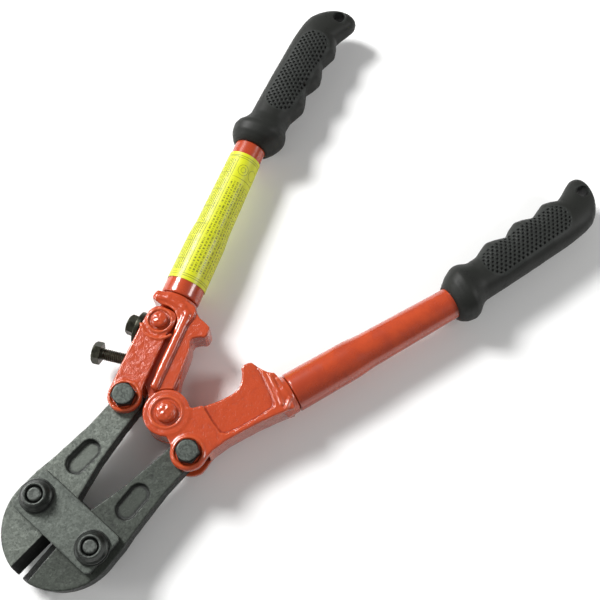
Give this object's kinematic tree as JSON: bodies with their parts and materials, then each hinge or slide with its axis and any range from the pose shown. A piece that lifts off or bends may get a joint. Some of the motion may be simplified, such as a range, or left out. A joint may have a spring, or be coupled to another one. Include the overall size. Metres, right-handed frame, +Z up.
{
  "type": "bolt cutters",
  "caption": "Hand bolt cutters with forged jaws on strap plates, toggle-linked cast handle heads, steel tubes, rubber grips and a screw-adjusted link.",
  "frame": {"origin": "middle of the tool's bounding box, at the level of the rear bolt heads it lies on", "axes": "+Z up from the flat-lying tool, +Y along the line of symmetry from the jaws to the grips, +X to the right handle"},
  "size_m": [0.1958, 0.3362, 0.0314],
  "materials": {
    "forged_steel": "phosphated drop-forged steel, dull grey-green",
    "bolt_steel": "blackened bolt steel",
    "red_paint": "glossy orange-red paint over castings and tubes",
    "black_rubber": "satin moulded rubber",
    "label_film": null
  },
  "bodies": {
    "strap": {"front_strap_plate": "forged_steel", "rear_strap_plate": "forged_steel", "center_bolt_left": "bolt_steel", "center_bolt_right": "bolt_steel", "center_washer_left": "bolt_steel", "center_washer_right": "bolt_steel", "center_nut_left": "bolt_steel", "center_nut_right": "bolt_steel"},
    "left_jaw": {"left_jaw": "forged_steel"},
    "right_jaw": {"right_jaw": "forged_steel"},
    "right_handle": {"right_handle_head": "red_paint", "right_handle_tube": "red_paint", "right_grip": "black_rubber", "pivot_rivet": "red_paint", "right_jaw_bolt": "bolt_steel", "right_jaw_nut": "bolt_steel"},
    "left_handle": {"left_handle_head": "red_paint", "left_handle_tube": "red_paint", "left_grip": "black_rubber", "tube_label": "label_film", "link_rivet": "red_paint"},
    "adjusting_link": {"adjusting_link": "red_paint", "left_jaw_bolt": "bolt_steel", "left_jaw_nut": "bolt_steel"},
    "adjusting_screw": {"adjusting_screw": "bolt_steel"},
    "lock_bolt": {"lock_bolt": "bolt_steel", "lock_washer": "bolt_steel"}
  },
  "joints": [
    {"name": "right_jaw_hinge", "type": "hinge", "parent": "strap", "child": "right_jaw", "pos_m": [0.0181, -0.13673, 0.015], "axis": [0, 0, 1], "range_deg": [-2.04, 2.63]},
    {"name": "left_jaw_hinge", "type": "hinge", "parent": "strap", "child": "left_jaw", "pos_m": [-0.0181, -0.13673, 0.015], "axis": [0, 0, 1], "range_deg": [-2.63, 2.04]},
    {"name": "right_jaw_bolt_hinge", "type": "hinge", "parent": "right_jaw", "child": "right_handle", "pos_m": [0.02108, -0.07569, 0.015], "axis": [0, 0, 1], "range_deg": [-22.63, 17.54]},
    {"name": "handle_hinge", "type": "hinge", "parent": "right_handle", "child": "left_handle", "pos_m": [0, -0.06843, 0.015], "axis": [0, 0, 1], "range_deg": [-31, 40]},
    {"name": "link_swing", "type": "hinge", "parent": "left_handle", "child": "adjusting_link", "pos_m": [-0.0346, -0.03645, 0.015], "axis": [0, 0, 1], "range_deg": [-1, 1]},
    {"name": "adjusting_screw_turn", "type": "hinge", "parent": "left_handle", "child": "adjusting_screw", "pos_m": [-0.0264, -0.05595, 0.015], "axis": [-0.891, -0.454, 0], "range_deg": [-140, 140]},
    {"name": "lock_bolt_turn", "type": "hinge", "parent": "left_handle", "child": "lock_bolt", "pos_m": [-0.03514, -0.04193, 0.015], "axis": [-0.9455, -0.3256, 0], "range_deg": [0, 180]}
  ],
  "couplings": [
    {"joint": "right_jaw_hinge", "follows": "handle_hinge", "ratio": 0.0657},
    {"joint": "left_jaw_hinge", "follows": "handle_hinge", "ratio": -0.0657},
    {"joint": "right_jaw_bolt_hinge", "follows": "handle_hinge", "ratio": -0.5657},
    {"joint": "adjusting_screw_turn", "follows": "link_swing", "ratio": 140}
  ]
}
